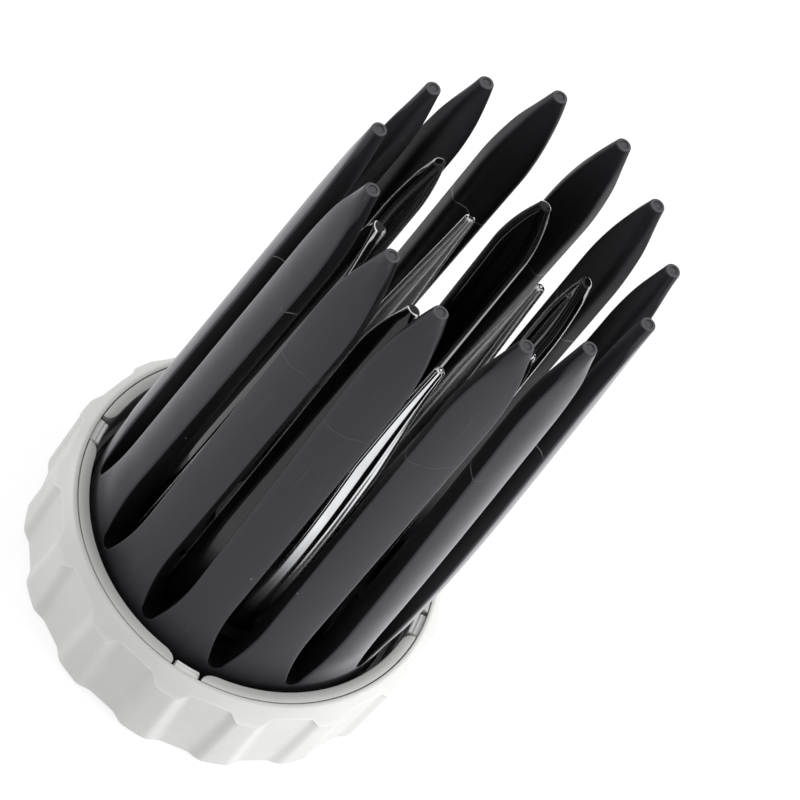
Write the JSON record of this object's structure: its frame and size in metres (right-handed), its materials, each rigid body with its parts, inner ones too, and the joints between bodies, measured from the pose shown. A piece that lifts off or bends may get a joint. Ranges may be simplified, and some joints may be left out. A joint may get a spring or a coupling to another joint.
{
  "type": "prong crown in a twist cap",
  "caption": "Crown of long tapering black prongs round shorter glossy black and steel ones, turning under a notched bayonet ring in a ribbed grey twist cap.",
  "frame": {"origin": "centre of the cap's flat underside", "axes": "+Z along the crown's axis, from the cap's underside towards the prong tips; +X to the right of the front view"},
  "size_m": [0.0585, 0.0584, 0.1013],
  "materials": {
    "cap_plastic": "satin warm light grey moulding, fine spark-eroded texture",
    "ring_plastic": "satin mid grey moulding",
    "tab_plastic": "darker satin grey moulding",
    "outer_prong_plastic": "matte black, soft sheen",
    "carrier_plastic": "matte black",
    "inner_wide_plastic": "polished black",
    "narrow_steel": "polished steel, drawn lengthwise",
    "hub_plastic": "satin black",
    "gasket_rubber": "matte black rubber",
    "dark_steel": "black-oxide steel",
    "bush_bronze": "sintered bronze"
  },
  "bodies": {
    "cap": {"fluted_cap": "cap_plastic", "lock_ring": "ring_plastic", "lock_tab_1": "tab_plastic", "lock_tab_2": "tab_plastic", "lock_tab_3": "tab_plastic", "lock_tab_4": "tab_plastic", "seat_gasket": "gasket_rubber", "hub_bush": "bush_bronze", "hub_washer": "dark_steel", "hub_screw": "dark_steel"},
    "outer_crown": {"outer_carrier": "carrier_plastic", "outer_prong_01": "outer_prong_plastic", "outer_prong_02": "outer_prong_plastic", "outer_prong_03": "outer_prong_plastic", "outer_prong_04": "outer_prong_plastic", "outer_prong_05": "outer_prong_plastic", "outer_prong_06": "outer_prong_plastic", "outer_prong_07": "outer_prong_plastic", "outer_prong_08": "outer_prong_plastic", "outer_prong_09": "outer_prong_plastic", "outer_prong_10": "outer_prong_plastic", "outer_prong_11": "outer_prong_plastic", "outer_prong_12": "outer_prong_plastic", "outer_prong_13": "outer_prong_plastic"},
    "inner_crown": {"inner_carrier": "hub_plastic", "inner_wide_prong_1": "inner_wide_plastic", "inner_wide_prong_2": "inner_wide_plastic", "inner_wide_prong_3": "inner_wide_plastic", "inner_wide_prong_4": "inner_wide_plastic", "inner_wide_prong_5": "inner_wide_plastic", "inner_wide_prong_6": "inner_wide_plastic", "inner_narrow_prong_1": "narrow_steel", "inner_narrow_prong_2": "narrow_steel", "inner_narrow_prong_3": "narrow_steel", "inner_narrow_prong_4": "narrow_steel", "inner_narrow_prong_5": "narrow_steel", "inner_narrow_prong_6": "narrow_steel"}
  },
  "joints": [
    {"name": "crown_twist", "type": "hinge", "parent": "cap", "child": "outer_crown", "pos_m": [0, 0, 0.006], "axis": [0, 0, 1], "range_deg": [-25, 0]},
    {"name": "inner_crown_turn", "type": "hinge", "parent": "cap", "child": "inner_crown", "pos_m": [0, 0, 0.01], "axis": [0, 0, 1], "continuous": true}
  ]
}
